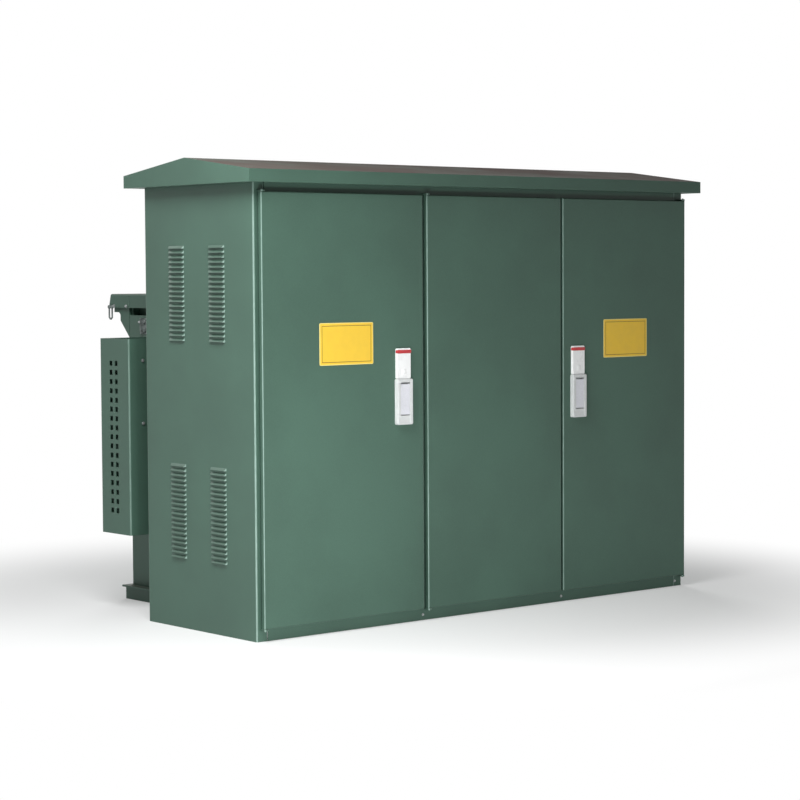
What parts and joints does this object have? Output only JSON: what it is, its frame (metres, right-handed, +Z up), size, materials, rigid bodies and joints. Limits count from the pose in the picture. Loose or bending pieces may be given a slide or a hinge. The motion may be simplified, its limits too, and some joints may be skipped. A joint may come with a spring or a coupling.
{
  "type": "power transformer",
  "caption": "Pad-mounted transformer: steel cabinet with hinged doors and gabled roof in front of an oil tank with radiators behind perforated guards.",
  "frame": {"origin": "on the ground, at the middle of the whole length and width", "axes": "+X along the doors to the right, +Y back from the doors to the tank, +Z up"},
  "size_m": [2.414, 1.582, 1.803],
  "materials": {
    "cabinet_paint": "semi-gloss green powder coat, fine orange peel",
    "roof_paint": "semi-gloss green, dusty on the slopes",
    "tank_paint": "semi-gloss green enamel",
    "galvanised_steel": "zinc plated",
    "handle_cover": "smooth white",
    "handle_housing": "light grey satin",
    "handle_metal": "satin",
    "bushing_resin": "cast resin, gloss",
    "bushing_glaze": "glazed",
    "tinned_copper": "tinned"
  },
  "bodies": {
    "enclosure": {"barrier": "cabinet_paint", "base_rail_left": "cabinet_paint", "base_rail_right": "cabinet_paint", "ceiling": "cabinet_paint", "fuse_holders": "bushing_resin", "header": "cabinet_paint", "hv_bushings": "bushing_resin", "left_guard": "tank_paint", "left_radiator": "tank_paint", "left_wall": "cabinet_paint", "lid_shackles": "galvanised_steel", "lifting_hooks": "tank_paint", "lower_hinge_tabs": "cabinet_paint", "lv_bushings": "bushing_glaze", "lv_terminals": "tinned_copper", "mullion": "cabinet_paint", "rear_guard": "tank_paint", "rear_radiator_left": "tank_paint", "rear_radiator_right": "tank_paint", "rear_sheet_left": "cabinet_paint", "rear_sheet_right": "cabinet_paint", "rear_sheet_top": "cabinet_paint", "right_guard": "tank_paint", "right_radiator": "tank_paint", "right_wall": "cabinet_paint", "roof": "roof_paint", "sill": "cabinet_paint", "tank": "tank_paint", "tank_brackets": "galvanised_steel", "tank_lid": "tank_paint", "tank_neck": "tank_paint", "tank_rail_left": "tank_paint", "tank_rail_right": "tank_paint", "upper_hinge_tabs": "cabinet_paint"},
    "left_door_leaf": {"left_door": "cabinet_paint", "left_handle": "handle_housing", "left_handle_cover": "handle_cover", "left_lock_rods": "galvanised_steel"},
    "left_lever_arm": {"left_lever": "handle_metal"},
    "centre_door_leaf": {"centre_door": "cabinet_paint"},
    "right_door_leaf": {"right_door": "cabinet_paint", "right_handle": "handle_housing", "right_handle_cover": "handle_cover", "right_lock_rods": "galvanised_steel"},
    "right_lever_arm": {"right_lever": "handle_metal"}
  },
  "joints": [
    {"name": "left_door_hinge", "type": "hinge", "parent": "enclosure", "child": "left_door_leaf", "pos_m": [-1.124, -0.755, 0.8575], "axis": [0, 0, -1], "range_deg": [0, 120]},
    {"name": "centre_door_hinge", "type": "hinge", "parent": "enclosure", "child": "centre_door_leaf", "pos_m": [-0.321, -0.755, 0.8575], "axis": [0, 0, -1], "range_deg": [0, 100]},
    {"name": "right_door_hinge", "type": "hinge", "parent": "enclosure", "child": "right_door_leaf", "pos_m": [1.134, -0.755, 0.8575], "axis": [0, 0, 1], "range_deg": [0, 120]},
    {"name": "left_lever_pivot", "type": "hinge", "parent": "left_door_leaf", "child": "left_lever_arm", "pos_m": [-0.459, -0.77645, 0.826], "axis": [1, 0, 0], "range_deg": [0, 45]},
    {"name": "right_lever_pivot", "type": "hinge", "parent": "right_door_leaf", "child": "right_lever_arm", "pos_m": [0.488, -0.77645, 0.812], "axis": [1, 0, 0], "range_deg": [0, 45]}
  ]
}
